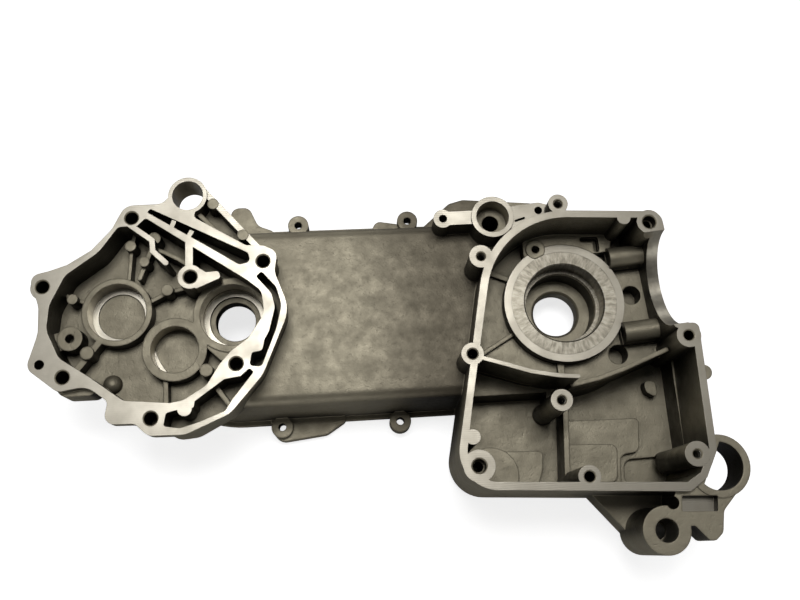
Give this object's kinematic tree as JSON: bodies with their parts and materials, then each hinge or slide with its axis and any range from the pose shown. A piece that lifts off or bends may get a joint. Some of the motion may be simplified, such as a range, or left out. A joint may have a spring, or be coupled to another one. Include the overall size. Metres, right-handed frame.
{
  "type": "crankcase half",
  "caption": "Half of a small scooter engine crankcase: crank chamber, sump, gearbox housing and belt case back in a single casting, with a steel bearing ring.",
  "frame": {"origin": "where the crankshaft axis crosses the split face", "axes": "+X from the gearbox input bore to the crank, +Z out of the split face, +Y completes the frame"},
  "size_m": [0.433, 0.2524, 0.09],
  "materials": {
    "casting": "satin die casting, machined joint faces",
    "sleeve": "turned"
  },
  "bodies": {
    "root": {"crankcase_half": "casting", "main_bearing_sleeve": "sleeve"}
  },
  "joints": []
}
